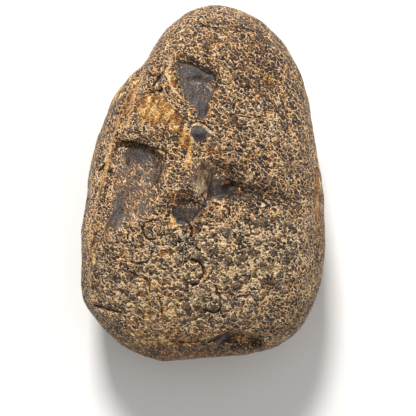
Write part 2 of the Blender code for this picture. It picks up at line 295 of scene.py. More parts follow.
# Thin dark cracks, the open edges of scales, and painted shadow under the crown scar's and the
# basin's ledges.
CRACKS = {
    # Painted shadow under the crown scar's upper ledge, over shallow cuts.
    "crown scar lip": Trace(0.5, [(-9.9, 44.6), (-7.1, 44.3)]),
    "crown scar ledge": Trace(
        0.7, [(-5.9, 43.4), (-4.2, 43.2), (-2.6, 42.0), (-0.8, 41.2), (0.4, 39.9)]
    ),
    "crown pit crack": Trace(1.0, [(-15.9, 38.4), (-17.0, 36.6), (-18.4, 34.6)]),
    "side pit crack": Trace(1.1, [(-15.2, 32.9), (-16.2, 32.6)]),
    "side pit end": Trace(0.8, [(-18.2, 31.9), (-19.5, 32.1)]),
    "scar margin": Trace(0.6, [(-14.2, 33.4), (-13.0, 30.8), (-10.6, 28.4)]),
    "ochre margin": Trace(0.8, [(-12.6, 26.6), (-10.0, 24.6), (-7.4, 22.2)]),
    "ochre nick": Trace(0.7, [(-14.5, 22.3), (-14.3, 20.7)]),
    # Painted shadow under the basin's top ledge, over a shallow cut.
    "basin lip": Trace(
        0.7,
        [
            (-31.8, 15.3), (-27.7, 14.2), (-24.6, 14.1), (-19.9, 12.5), (-15.2, 11.0),
            (-12.7, 10.0),
        ],
    ),
    "drop scar groove": Trace(0.8, [(-5.0, 20.8), (-2.7, 21.2), (0.0, 20.3), (2.4, 18.4)]),
    "heart point": Trace(0.7, [(1.0, -8.3), (0.2, -7.1), (-0.9, -4.6)]),
    "heart sill": Trace(0.8, [(3.0, -7.5), (6.4, -8.6), (8.8, -9.8), (8.9, -12.1)]),
    "basin lens": Trace(0.6, [(-17.6, -9.3), (-15.5, -8.9), (-13.9, -8.4)]),
    "left ring arc": Trace(
        0.7, [(-21.2, -14.6), (-21.8, -17.1), (-21.2, -19.6), (-19.4, -20.7), (-16.9, -20.3)]
    ),
    "left ring close": Trace(
        0.6,
        [
            (-21.0, -14.8), (-18.8, -13.6), (-16.0, -13.9), (-14.4, -15.8), (-14.2, -18.4),
            (-15.6, -20.2),
        ],
    ),
    "middle ring arc": Trace(0.8, [(-6.6, -14.7), (-4.8, -16.0), (-4.4, -17.8), (-4.8, -19.6)]),
    "flank nick": Trace(0.9, [(-36.3, 6.5), (-37.3, 5.1), (-38.5, 4.0)]),
    "low left curve": Trace(
        0.8, [(-26.0, -28.6), (-24.0, -29.3), (-20.9, -28.8), (-19.1, -27.0), (-18.8, -24.9)]
    ),
    "star crack": Trace(0.9, [(-26.6, -32.2), (-25.0, -33.4), (-26.6, -35.3)]),
    "star tail": Trace(0.7, [(-24.5, -33.4), (-22.0, -34.2), (-19.4, -36.2), (-19.9, -39.4)]),
    "large ring crescent": Trace(
        0.9, [(-4.6, -28.2), (-2.0, -29.0), (-0.5, -31.0), (0.0, -33.1), (-1.0, -34.6)]
    ),
    "large ring foot": Trace(0.8, [(-8.1, -34.1), (-6.6, -36.2), (-4.6, -37.2), (-3.0, -36.7)]),
    "large ring echo": Trace(0.6, [(2.1, -29.0), (3.1, -31.0), (2.1, -33.5)]),
    "grey streak": Trace(0.6, [(-11.2, -21.3), (-6.6, -21.8), (-3.5, -23.4), (-1.5, -24.9)]),
    "wedge": Trace(0.8, [(-1.0, -23.4), (1.0, -22.3)]),
    "bracket top": Trace(0.8, [(3.6, -37.2), (4.6, -38.8), (4.4, -40.3)]),
    "bracket foot": Trace(
        0.8, [(5.2, -40.3), (5.9, -43.0), (5.7, -46.1), (3.6, -47.7), (0.0, -46.6)]
    ),
    "low curl": Trace(0.7, [(-15.4, -45.6), (-15.4, -48.8), (-13.4, -50.4)]),
    "low arch": Trace(0.6, [(-4.6, -50.4), (-1.5, -49.3), (2.1, -50.4)]),
    "low left crack": Trace(0.9, [(-40.1, -44.8), (-35.3, -46.1), (-30.0, -47.0)]),
    "foot crack": Trace(
        0.48, [(-12.4, -58.1), (-6.7, -58.6), (1.1, -58.6), (6.7, -56.4), (11.4, -52.6)]
    ),
    "valley crack": Trace(0.55, [(22.0, -6.0), (23.5, -6.6), (27.0, -7.4), (30.5, -7.6)]),
    "dark pit tail": Trace(0.5, [(16.3, -13.2), (16.3, -15.2), (16.6, -18.3)]),
    "oval sill": Trace(0.7, [(17.6, -16.5), (20.6, -16.8), (23.2, -15.7)]),
    "crown streak": Trace(0.8, [(-1.3, 56.7), (3.0, 56.3), (4.2, 55.4)]),
    "corner": Trace(0.5, [(5.3, 43.5), (7.7, 39.8), (11.3, 42.3)]),
    "right ledge": Trace(1.0, [(20.9, 37.6), (23.9, 36.4)]),
    "upright": Trace(0.5, [(11.0, 30.2), (10.6, 25.4)]),
    "level crack": Trace(0.55, [(12.4, 23.9), (14.8, 22.9), (20.8, 23.3)]),
    "black spot": Trace(1.0, [(20.2, 21.1), (21.4, 21.6)]),
    "small pit": Trace(0.9, [(27.2, 11.4), (27.4, 11.1)]),
    "spine line": Trace(0.5, [(-12.3, 12.1), (-10.1, 9.6)]),
}
# Raised pale threads of silica that run on their own, past the random network of threads.
SEAMS = {
    "scar rim": Trace(
        0.75,
        [
            (-11.4, 45.6), (-12.3, 42.4), (-13.5, 39.6), (-13.2, 36.5), (-12.3, 34.4),
            (-9.6, 30.8), (-7.5, 28.8),
        ],
    ),
    "rim echo": Trace(0.50, [(-15.6, 34.4), (-13.6, 31.6), (-11.4, 28.8), (-9.4, 26.6)]),
    "flank thread": Trace(
        0.53,
        [(-31.5, 21.2), (-32.4, 16.7), (-34.2, 12.1), (-35.7, 6.2), (-37.0, 0.7), (-38.8, -6.2)],
    ),
    "flank thread low": Trace(
        0.46, [(-38.8, -6.2), (-40.2, -13.0), (-41.2, -21.0), (-41.4, -28.0)]
    ),
    "flank echo": Trace(0.33, [(-32.8, 17.2), (-33.8, 10.4), (-33.6, 5.6)]),
    "shoulder thread": Trace(
        0.46, [(-21.3, 40.3), (-23.1, 35.5), (-24.7, 30.7), (-25.9, 25.6), (-27.6, 19.5)]
    ),
    "shoulder echo": Trace(0.40, [(-24.0, 35.1), (-25.9, 29.2), (-27.6, 23.4), (-29.8, 17.8)]),
    "outer thread": Trace(0.33, [(-26.2, 34.0), (-29.0, 27.0), (-31.2, 20.4)]),
    "scar right rim": Trace(0.40, [(3.0, 29.0), (2.5, 26.5), (1.0, 24.0), (-1.0, 20.0)]),
    "sill": Trace(0.40, [(2.0, -7.6), (4.5, -8.6), (6.5, -9.1), (9.0, -10.6)]),
    "arch": Trace(0.59, [(-3.6, -14.6), (-2.4, -12.2), (0.0, -10.6), (1.8, -8.4)]),
    "fan": Trace(0.53, [(2.4, -8.4), (5.4, -11.6), (8.4, -15.4)]),
    "ring hook": Trace(0.40, [(-5.6, -14.4), (-4.2, -16.0), (-3.8, -18.0)]),
    "large ring rim": Trace(0.33, [(1.0, -29.0), (1.6, -31.0), (1.0, -34.0), (-1.0, -36.2)]),
}
# Single plates that stand out, raised and dark, among the random islands. Each entry here and in
# the stains holds a Patch's values, and they run from the crown down.
PLATES = [
    (26.1, 34.8, 2.0, 1.2, -10), (14.1, 28.2, 1.3, 1.1), (16.6, 26.1, 1.2, 1.1),
    (-20.5, 23.5, 0.45, 1.5), (8.0, 23.1, 1.2, 1.0), (-14.5, 22.5, 0.55, 1.8, -8),
    (-17.0, 19.8, 0.4, 1.3, 5), (12.3, 19.6, 1.4, 1.1), (-11.0, 18.6, 0.5, 1.6, -5),
    (5.5, -12.8, 1.8, 1.4, -30), (20.1, -14.7, 2.9, 1.7, 5), (7.6, -17.4, 2.2, 1.8, -35),
    (12.6, -20.3, 1.4, 1.1), (19.4, -22.1, 1.2, 1.0), (0.0, -23.0, 1.3, 0.9, 30),
    (3.7, -24.6, 1.5, 1.2, -20), (14.0, -27.5, 1.6, 1.2, -20), (-1.6, -28.1, 1.7, 1.4, -30),
    (8.7, -28.2, 1.3, 1.1), (29.5, -28.7, 1.8, 1.4), (13.5, -30.3, 1.0, 1.0),
    (23.8, -30.4, 1.4, 1.1, 20), (-18.4, -31.8, 1.5, 1.1, -15), (-12.7, -31.8, 1.5, 1.2, 15),
    (-26.3, -33.3, 1.7, 2.9), (7.6, -35.1, 1.5, 1.3), (31.5, -35.7, 1.4, 1.1),
    (23.3, -36.8, 2.9, 2.2), (11.5, -37.5, 2.0, 1.7, 10), (-9.5, -40.4, 1.4, 1.1),
    (-1.3, -40.4, 1.4, 1.1), (15.6, -40.4, 1.3, 1.1, 30), (10.2, -43.0, 1.2, 1.0),
    (-6.6, -44.8, 1.6, 1.3), (-34.6, -45.0, 3.2, 1.1, -12), (2.8, -46.1, 2.3, 1.3, 15),
    (-30.9, -46.7, 2.2, 0.9, -10), (18.9, -48.6, 1.3, 1.1), (10.3, -50.1, 1.6, 0.9, 10),
]
# Where the finish changes: iron stain, painted shade in the deep places, under ledges and towards
# the bottom edge, cream silica, painted highlights on lips and crests, floors worn bare, and the
# ground where plates show. A stain is whole well inside its oval and gone at this share of its
# size.
STAIN_REACH = 1.35
STAINS = {
    "rust": [
        (4.1, 50.8, 7.9, 5.0, 0, 0.4), (-8.6, 44.6, 1.8, 0.7, 0, 0.8),
        (-11.6, 38.0, 1.2, 4.6, 0, 0.5), (23.2, 37.8, 2.2, 1.4, 0, 0.7),
        (-31.5, 32.4, 2.5, 5.0, -30, 0.6), (-26.6, 30.1, 1.1, 9.4, -22, 0.6),
        (-22.1, 28.8, 2.5, 2.9, 0, 0.6), (-18.0, 25.0, 6.4, 5.8, -20), (-14.5, 25.0, 9.6, 3.8, -45),
        (-11.0, 22.4, 1.8, 7.4, 38, 1.4), (-18.5, 17.4, 6.0, 2.6, 0, 0.34),
        (-6.9, 15.3, 2.0, 6.4, 20, 1.1), (-20.0, 11.6, 7.0, 1.6, -18, 0.4),
        (3.4, 11.0, 4.7, 2.9, 0, 0.5), (-29.7, 7.9, 2.0, 1.2, 0, 0.3),
        (-5.5, 7.5, 1.8, 3.2, 0, 0.8), (-36.0, 2.9, 0.8, 12.2, -17, 0.8),
        (7.4, -0.5, 2.0, 0.7, 12, 0.9), (42.5, -4.0, 2.2, 24.0, -3, 0.6),
        (-10.0, -5.6, 3.6, 4.0, 0, 0.36), (5.2, -7.2, 3.2, 0.7, -20, 0.4),
        (-22.0, -14.0, 7.0, 3.4, 0, 0.15), (-10.8, -14.6, 1.4, 2.5, 20, 0.6),
        (-13.7, -15.7, 1.4, 1.8, 0, 0.6), (-3.7, -17.8, 1.1, 2.2, 0, 0.6),
        (-39.3, -22.5, 0.8, 10.1, -7, 0.8), (-14.4, -25.7, 1.8, 2.5, 0, 0.7),
        (-15.0, -28.0, 8.0, 4.0, 0, 0.36), (12.0, -34.0, 24.0, 18.0, 0, 0.24),
        (9.0, -41.0, 5.0, 4.0, 0, 0.36), (21.0, -41.3, 1.4, 1.8, 0, 0.8),
        (-16.0, -44.0, 22.0, 18.0, 0, 0.36), (-20.7, -44.9, 1.6, 8.6, -11, 0.6),
        (-24.0, -49.0, 12.0, 5.0, -15, 0.42), (-12.0, -57.0, 24.0, 8.0, 0, 0.42),
        (14.0, -57.0, 6.0, 2.4, 0, 0.45), (0.0, -64.0, 34.0, 3.0, 0, 0.4),
    ],
    # Painted shade: darker tone in the deep places of the hollows, under ledges and towards the
    # bottom edge.
    "painted_shade": [
        (17.6, 56.4, 8.0, 5.0, -35, 0.75), (-4.0, 50.0, 24.0, 16.0, 0, 0.36),
        (18.0, 50.0, 16.0, 12.0, -35, 0.62), (-2.3, 40.8, 6.1, 1.4, -25, 0.6),
        (-4.5, 39.5, 6.5, 3.6, -25, 0.9), (20.0, 39.0, 12.0, 11.0, 0, 0.7),
        (3.6, 37.4, 3.2, 3.2, 0, 0.8), (-16.8, 37.0, 2.0, 1.1, 30, 0.9),
        (22.5, 37.0, 2.3, 1.1, -15, 0.8), (-8.0, 34.5, 3.4, 5.0, 20, 0.75),
        (30.0, 34.5, 5.0, 9.0, 10, 0.4), (-2.5, 34.0, 8.0, 9.0, 0, 0.65),
        (-17.1, 32.0, 2.9, 0.9, 0, 0.9), (-1.0, 26.0, 3.0, 5.0), (-11.0, 24.0, 1.0, 4.0, 42, 0.6),
        (21.3, 21.4, 1.6, 1.1, 0, 0.9), (-30.2, 21.0, 1.1, 3.6, -20, 0.4),
        (14.0, 19.6, 6.4, 5.6, 0, 0.5), (-2.0, 16.2, 3.4, 2.8, 0, 0.8),
        (-35.2, 16.0, 1.4, 2.9, -20, 0.6), (-22.3, 10.8, 10.6, 3.6, -14, 1.1),
        (15.6, 5.4, 5.4, 3.6, -20, 0.6), (-37.7, 5.1, 1.1, 2.2, -15, 0.8),
        (8.2, 1.2, 5.2, 6.2, 0, 1.2), (12.4, -0.6, 7.0, 3.6, -15, 0.55),
        (7.0, -4.4, 6.0, 2.4, -6, 1.1), (18.6, -4.4, 16.0, 5.4, -13, 1.1),
        (24.0, -9.0, 7.0, 3.4, -8, 0.5), (-6.4, -10.2, 8.0, 8.0, 0, 1.3),
        (-11.4, -13.2, 4.4, 2.8, 0, 0.75), (16.2, -13.5, 1.6, 1.6),
        (32.0, -15.5, 6.0, 7.0, 0, 0.42), (41.8, -24.4, 1.1, 7.9, 0, 0.8),
        (-1.6, -27.8, 2.5, 2.2, -30, 0.6), (-26.3, -33.3, 1.8, 3.2, 0, 0.6),
        (22.8, -37.5, 3.0, 3.4, 0, 0.6), (-27.0, -40.0, 12.0, 10.0, 0, 0.38),
        (15.5, -42.0, 2.6, 4.0, 0, 0.5), (-14.0, -44.5, 3.0, 4.0, 0, 0.4),
        (-33.9, -45.3, 7.2, 2.2, -12, 0.5), (26.5, -45.5, 7.0, 6.0, 40, 0.42),
        (27.8, -51.7, 7.2, 4.3, 45, 0.4), (-4.2, -51.8, 5.0, 3.0, 0, 0.5),
        (-30.0, -54.0, 7.0, 4.0, -35, 0.42), (7.0, -55.8, 15.0, 4.4, 6, 0.62),
        (9.4, -57.0, 7.6, 3.2, 4, 1.3), (18.2, -58.8, 4.8, 2.6, -30), (-2.0, -62.4, 32.0, 3.8),
    ],
    "pale": [
        (6.7, 50.8, 1.1, 2.9, 35, 0.5), (-3.8, 45.2, 5.0, 1.4, -25, 0.5),
        (-12.9, 38.4, 1.1, 6.4, -4, 0.8), (-17.5, 34.3, 2.3, 0.9, 0, 0.5),
        (-10.2, 31.8, 1.1, 4.4, 40, 0.7), (-31.4, 29.6, 3.0, 6.0, -25, 0.42),
        (-8.6, 27.0, 2.0, 3.0, 40, 0.5), (-33.5, 26.0, 1.4, 6.5, -20, 0.4),
        (-23.0, 19.0, 6.5, 2.6, 0, 0.4), (18.0, 18.9, 1.1, 1.6, 0, 0.9),
        (-26.0, 16.2, 3.6, 1.4, 0, 0.7), (-18.4, 13.9, 3.2, 1.1, -10, 0.5),
        (32.6, 11.0, 3.4, 10.0, 0, 0.42), (-37.0, 4.0, 2.6, 12.0, -17, 0.6),
        (5.4, -7.4, 2.8, 0.8, -20, 0.9), (-17.6, -12.5, 2.9, 1.4, 10, 0.9),
        (-41.0, -16.0, 2.4, 12.0, -5, 0.5), (-1.0, -22.6, 5.6, 6.0, 0, 0.48),
        (-37.0, -26.0, 4.0, 7.0, 0, 0.48), (-3.0, -27.0, 7.0, 6.0, 0, 0.42),
        (-22.0, -27.6, 12.0, 4.0, 8, 0.38), (-19.0, -28.4, 9.0, 3.0, 0, 0.36),
        (5.0, -33.0, 4.6, 5.6, 0, 0.55), (3.0, -39.0, 17.0, 9.0, -8, 0.42),
        (-6.0, -39.4, 6.0, 4.0, 0, 0.42), (9.6, -41.4, 6.4, 6.0, 0, 0.5),
    ],
    # Painted highlights: lighter, greyer tone on lips, crests and the crown scar's crease.
    "painted_highlight": [
        (-6.3, 42.0, 3.6, 1.1, -22, 0.5), (-3.4, 35.2, 2.4, 0.9, 5, 0.8),
        (1.4, 33.9, 2.6, 0.9, -35, 0.9), (0.6, 24.0, 0.6, 2.4, -15, 0.6), (-2.7, 20.1, 2.4, 0.8, 3),
        (1.4, 18.0, 2.8, 0.8, -38), (-29.7, 12.2, 2.9, 1.1, -8, 0.6),
        (-27.0, 8.0, 5.6, 4.6, 0, 0.36), (2.6, 5.0, 3.2, 2.6, 30, 0.45),
        (-1.4, 0.4, 3.8, 5.8, -10, 0.62), (-1.6, -2.8, 2.2, 4.0, -16, 0.8),
        (-0.6, -2.8, 2.4, 4.4, 4, 0.5), (0.0, -5.6, 0.9, 2.4, -25), (4.6, -58.4, 2.4, 0.7, 25, 0.7),
    ],
    "bare": [
        (-0.6, 25.4, 2.4, 4.4, 6, 0.9), (-25.5, 8.5, 8.5, 5.0, -18, 0.8),
        (-17.5, 3.0, 4.8, 9.0, -8, 0.66), (0.2, 0.2, 5.2, 8.4, 10), (-24.0, -1.0, 7.0, 9.0, 0, 0.5),
        (12.0, -1.0, 6.0, 1.8, -12, 0.35), (6.4, -2.4, 6.0, 5.4, 0, 0.88),
        (15.0, -6.2, 6.4, 1.6, -12, 0.5), (-31.0, -10.0, 4.4, 12.0, -14, 0.76),
        (6.4, -57.6, 4.4, 2.2, 20, 0.85),
    ],
    "plated": [
        (18.4, 18.9, 16.2, 12.6, 0, 0.45), (22.0, -23.9, 19.8, 21.6, 0, 0.8),
        (0.5, -32.8, 28.8, 22.3), (-26.4, -42.1, 14.4, 12.6, 0, 0.7),
    ],
}
# The left flank shows the wood's long grain, outside this line up the stone, and blends into the
# face across it.
FLANK_LINE = [
    (-18.5, 44.0), (-22.0, 32.0), (-28.0, 20.0), (-34.0, 5.0), (-37.5, -10.0), (-40.0, -26.0),
    (-41.5, -40.0),
]
FLANK_BLEND = 2.0
# How far past the line's low and high ends the grain fades out.
FLANK_FADE = (8.0, 4.0)


def ease(share):
    """0 to 1 with a soft start and end."""
    share = np.clip(share, 0.0, 1.0)
    return share * share * (3.0 - 2.0 * share)


def round_curve(stations, degrees):
    """The value at each angle on a smooth closed curve through (degrees, value) stations."""
    angle, value = np.array(stations, float).T
    angle = np.concatenate([angle[-2:] - 360.0, angle, angle[:3] + 360.0])
    value = np.concatenate([value[-2:], value, value[:3]])
    slope = np.gradient(value, angle)
    k = np.clip(np.searchsorted(angle, degrees, side="right") - 1, 1, len(angle) - 3)
    width = angle[k + 1] - angle[k]
    t = (degrees - angle[k]) / width
    return (
        value[k] * (1 + 2 * t) * (1 - t) ** 2
        + value[k + 1] * t * t * (3 - 2 * t)
        + width * t * (1 - t) * (slope[k] * (1 - t) - slope[k + 1] * t)
    )


def stone_form(directions):
    """The worn egg before any scars: points in millimetres, from directions out of its middle."""
    x, y, z = directions.T
    degrees = np.degrees(np.arctan2(y, x)) % 360.0
    lean = np.hypot(x, y)
    on_face = z > 0.0
    full = np.where(on_face, round_curve(FULLNESS, degrees), BACK_FULLNESS)
    reach = (lean**full + np.abs(z) ** full) ** (-1.0 / full)
    out = reach * lean
    edge = out**EDGE_SHARE
    radius = round_curve(EGG, degrees) * (1.0 - edge) + round_curve(OUTLINE, degrees) * edge
    rise = np.where(on_face, FACE_RISE, BACK_DROP)
    turn = np.radians(degrees)
    return np.column_stack([
        HALF_WIDTH * radius * out * np.cos(turn),
        HALF_LENGTH * radius * out * np.sin(turn),
        rise * reach * z,
    ])


def nearest_on(points, start, end):
    """Each point's distance to a straight run, and how far along the run it lies, 0 to 1."""
    run = np.subtract(end, start)
    along = np.clip((points - start) @ run / (run @ run), 0.0, 1.0)
    return np.hypot(*(points - start - along[:, None] * run).T), along


def inside(points, corners):
    """True for each point within the closed outline."""
    x, y = points.T
    within = np.zeros(len(points), bool)
    for (ax, ay), (bx, by) in zip(corners, corners[1:] + corners[:1]):
        crosses = (ay > y) != (by > y)
        with np.errstate(divide="ignore", invalid="ignore"):
            within ^= crosses & (x < (bx - ax) * (y - ay) / (by - ay) + ax)
    return within


def hollow_depth(points, hollow):
    """How deep a hollow lies under each point, and how far each is past its lip, 0 to 1."""
    share = np.ones(len(points))
    for (ax, ay, a_lip), (bx, by, b_lip) in zip(hollow.rim, hollow.rim[1:] + hollow.rim[:1]):
        gap, along = nearest_on(points, (ax, ay), (bx, by))
        share = np.minimum(share, gap / (a_lip + along * (b_lip - a_lip)))
    share = ease(share) * inside(points, [(x, y) for x, y, _ in hollow.rim])
    floor = hollow.depth - (points - hollow.deepest) @ np.array(hollow.slope)
    floor = np.where(floor > 0.0, floor, 0.0)
    return floor * share, share


def line_height(points, line):
    """A groove's or ridge's height at each point, rounded across and fading with its shares."""
    height = np.zeros(len(points))
    for (ax, ay, a_share), (bx, by, b_share) in zip(line.points, line.points[1:]):
        gap, along = nearest_on(points, (ax, ay), (bx, by))
        here = ease(1.0 - gap / line.half_width) * (a_share + along * (b_share - a_share))
        height = np.maximum(height, here)
    return height * line.height


def lump_height(points, lump):
    """A lump's height at each point, falling away smoothly on all sides."""
    away = (points - lump.middle) / lump.size
    return lump.height * np.exp(-np.sum(away * away, axis=1))


def ring_height(points, ring):
    """The height at each point of the groove that a growth ring leaves."""
    gap = np.abs(np.hypot(*(points - ring.middle).T) - ring.radius)
    return -ring.depth * ease(1.0 - gap / RING_HALF_WIDTH)


def bumps(points, spacing):
    """Smooth noise from about -1 to 1, with its swellings this far apart."""
    return np.array([noise.noise(Vector(p)) for p in points / spacing])


def swelling(points):
    """Slow natural unevenness and low ribs of grain, in millimetres."""
    x, _, z = points.T
    height = sum(size * bumps(points, spacing) for spacing, size in SWELLINGS)
    flank = ease(np.maximum(-x / HALF_WIDTH, -z / BACK_DROP))
    ribs = GRAIN_HEIGHT + (FLANK_GRAIN_HEIGHT - GRAIN_HEIGHT) * flank
    return height + ribs * bumps(points, np.array(GRAIN_SPACING))


def oval(points, patch):
    """How far each point is from an oval's middle: 0 there and 1 on its edge."""
    turn = math.radians(patch.turn)
    away = points - (patch.x, patch.y)
    along = away @ (math.cos(turn), math.sin(turn)) / patch.half_width
    across = away @ (-math.sin(turn), math.cos(turn)) / patch.half_height
    return np.hypot(along, across)


def stain(points, rows):
    """A soft-edged field, whole well inside its ovals and gone a third past their edges."""
    field = np.zeros(len(points))
    for row in rows:
        patch = Patch(*row)
        cover = np.clip(STAIN_REACH - oval(points, patch), 0.0, 1.0)
        field = np.maximum(field, patch.strength * cover)
    return field


def nearness(points, traces):
    """1 on the line of a crack or seam, falling evenly to 0 where its sides end."""
    near = np.zeros(len(points))
    for trace in traces.values():
        for start, end in zip(trace.points, trace.points[1:]):
            gap, _ = nearest_on(points, start, end)
            near = np.maximum(near, 1.0 - gap / trace.width)
    return near


def plate_share(flat, sway):
    """1 inside the single plates, a half on their edges, and 0 where their rims end."""
    share = np.zeros(len(flat))
    for row in PLATES:
        plate = Patch(*row)
        half_across = min(plate.half_width, plate.half_height)
        inward = (1.0 - oval(flat + sway, plate)) * half_across
        share = np.maximum(share, np.clip(0.5 + 0.5 * inward / PLATE_RIM, 0.0, 1.0))
    return share


def flank_share(points):
    """1 on the left flank, outside its line, and 0 on the face."""
    x, y, _ = points.T
    across, up = np.array(FLANK_LINE[::-1]).T
    low_fade, high_fade = FLANK_FADE
    beyond = ease((np.interp(y, up, across) - x) / FLANK_BLEND + 0.5)
    return beyond * ease((y - up[0]) / low_fade + 1.0) * ease((up[-1] - y) / high_fade + 1.0)


def carve(form):
    """The worn egg with its hollows and fine surface, and what its finish needs at each point."""
    flat = form[:, :2]
    on_face = ease(form[:, 2] / FACE_START)
    on_back = ease(-form[:, 2] / FACE_START)
    height = np.zeros(len(form))
    worn = np.zeros(len(form))
    for line in FACE_LINES.values():
        height += on_face * line_height(flat, line)
    for lump in FACE_LUMPS.values():
        height += on_face * lump_height(flat, lump)
    for ring in RINGS.values():
        height += on_face * ring_height(flat, ring)
    smooth = np.zeros(len(form))
    for hollows, side in ((FACE_HOLLOWS, on_face), (BACK_HOLLOWS, on_back)):
        for name, hollow in hollows.items():
            depth, share = hollow_depth(flat, hollow)
            height -= side * depth
            smooth = np.maximum(smooth, side * share)
            worn = np.maximum(worn, side * np.minimum(share * WALL_WEAR, 1.0) * POLISH[name])
    outward = form / np.array([HALF_WIDTH, HALF_LENGTH, FACE_RISE]) ** 2
    outward /= np.linalg.norm(outward, axis=1)[:, None]
    lumpy = swelling(form) * (1.0 - HOLLOW_SMOOTHNESS * smooth)
    carved = form + outward * lumpy[:, None]
    carved[:, 2] += np.where(form[:, 2] > 0.0, height, -height)

    sway = np.column_stack([bumps(form + SWAY_APART * k, SWAY_SPACING) for k in (1, 2)])
    stains = {
        name: on_face * stain(flat + LINE_SWAY * sway, rows) for name, rows in STAINS.items()
    }
    plate = on_face * plate_share(flat, PLATE_SWAY * sway)
    crack = on_face * nearness(flat + CRACK_SWAY * sway, CRACKS)
    seam = on_face * nearness(flat + LINE_SWAY * sway, SEAMS)
    worn = np.maximum(worn, stains.pop("bare"))
    fine = PLATE_HEIGHT * ease(plate) - CRACK_DEPTH * ease(crack) + SEAM_HEIGHT * ease(seam)
    fine += sum(size * bumps(form, gap) for gap, size in GRIT)
    carved += outward * (fine * (1.0 - WEAR_LOSS * worn))[:, None]
    flank = flank_share(form)
    marks = {"worn": worn, "plate": plate, "crack": crack, "seam": seam, "flank": flank, **stains}
    return carved, marks


def settle(points):
    """The flat worn underside, and the stone brought to its solid's place, in metres."""
    points[:, 2] = np.maximum(points[:, 2], -REST_DROP)
    low, high = points.min(axis=0), points.max(axis=0)
    middle = np.array([(low[0] + high[0]) / 2, (low[1] + high[1]) / 2, low[2]])
    box_low, box_high = STONE_BOX
    home = np.array([(box_low[0] + box_high[0]) / 2, (box_low[1] + box_high[1]) / 2, box_low[2]])
    return (points - middle) * MM + home


# Each side of the cube: the directions across and up it, and its low corner and size in the
# surface's flat layout, where the scarred face has the most room. LAYOUT_GAP is left round each.
BIG, SMALL, THIRD = 0.62, 0.38, 1.0 / 3.0
SIDES = [
    ((1, 0, 0), (0, 1, 0), (0.0, 0.0), (BIG, BIG)),
    ((0, 1, 0), (1, 0, 0), (0.0, BIG), (BIG / 2, SMALL)),
    ((0, 0, 1), (0, 1, 0), (BIG / 2, BIG), (BIG / 2, SMALL)),
    ((0, 1, 0), (0, 0, 1), (BIG, 0.0), (SMALL, THIRD)),
    ((0, 0, 1), (1, 0, 0), (BIG, THIRD), (SMALL, THIRD)),
    ((1, 0, 0), (0, 0, 1), (BIG, 2 * THIRD), (SMALL, THIRD)),
]
LAYOUT_GAP = 0.004
# Added to the distance from the middle line, so that it is never zero.
TINY = 1e-12


def cube_grid():
    """A cube's points, its four-sided faces, and each face corner's place in the flat layout."""
    steps = np.linspace(-1.0, 1.0, CELLS + 1)
    across, up = (a.ravel() for a in np.meshgrid(steps, steps))
    corner = np.arange(CELLS * (CELLS + 1)).reshape(CELLS, CELLS + 1)[:, :-1].ravel()
    quad = np.column_stack([corner, corner + 1, corner + CELLS + 2, corner + CELLS + 1])
    points, quads, places = [], [], []
    for k, (right, above, low, size) in enumerate(SIDES):
        out = np.cross(right, above)
        points.append(out + np.outer(across, right) + np.outer(up, above))
        quads.append(quad + k * len(across))
        flat = np.column_stack([across, up]) / 2 + 0.5
        places.append((np.array(low) + LAYOUT_GAP + flat * (np.array(size) - 2 * LAYOUT_GAP))[quad])
    points, quads = np.concatenate(points), np.concatenate(quads)
    _, first, same = np.unique(
        np.round(points * CELLS).astype(int), axis=0, return_index=True, return_inverse=True
    )
    return points[first], same.reshape(-1)[quads], np.concatenate(places)


def cube_directions(points):
    """Directions out of the stone's middle, evened out, then drawn towards the scarred face."""
    grid = np.tan(points * math.pi / 4)
    directions = grid / np.linalg.norm(grid, axis=1)[:, None]
    tip = np.arccos(np.clip(directions[:, 2], -1.0, 1.0))
    tip -= FACE_PULL * np.sin(tip)
    flat = np.hypot(directions[:, 0], directions[:, 1]) + TINY
    directions[:, :2] *= (np.sin(tip) / flat)[:, None]
    directions[:, 2] = np.cos(tip)
    return directions


def stone_piece():
    """The stone in the scene, with its flat layout and the marks that its finish reads."""
    points, quads, places = cube_grid()
    carved, marks = carve(stone_form(cube_directions(points)))
    mesh = bpy.data.meshes.new("petrified_wood_stone")
    mesh.from_pydata(settle(carved), [], quads.tolist())
    layout = mesh.uv_layers.new(name="OFBake")
    layout.uv.foreach_set("vector", places.ravel())
    for name, values in marks.items():
        mark = mesh.attributes.new(name, "FLOAT", "POINT")
        mark.data.foreach_set("value", values.astype(np.float32))
    mesh.shade_smooth()
    mesh.validate()
    piece = bpy.data.objects.new("petrified_wood_stone", mesh)
    bpy.context.scene.collection.objects.link(piece)
    return piece


def linear(code):
    """An sRGB hex colour as linear red, green, blue and a full alpha."""
    parts = [int(code[k:k + 2], 16) / 255 for k in (1, 3, 5)]
    return (*(c / 12.92 if c <= 0.04045 else ((c + 0.055) / 1.055) ** 2.4 for c in parts), 1.0)


def add(tree, kind, feeds, **settings):
    """Adds a node with its settings. Feeds give its inputs a value or another node's output."""
    made = tree.nodes.new(kind)
    for name, value in settings.items():
        setattr(made, name, value)
    for socket, value in feeds.items():
        if isinstance(value, bpy.types.NodeSocket):
            tree.links.new(value, made.inputs[socket])
        else:
            made.inputs[socket].default_value = value
    return made


# --- Petrified wood ---
# The wood's cells are filled with chalcedony (IOR 1.54), and iron in the ground water stained it.
# Rolling in a river wore it dull outside and nearly polished in its hollows. Real silica threads
# are about a tenth of a millimetre across, too fine to show here, so they are drawn three to
# four times as wide. Sizes here are in millimetres.
CHALCEDONY_IOR = 1.54


class Field(NamedTuple):
    """Soft unevenness: which places it is read at, the distance between swellings, its detail."""

    where: str
    size: float
    detail: float


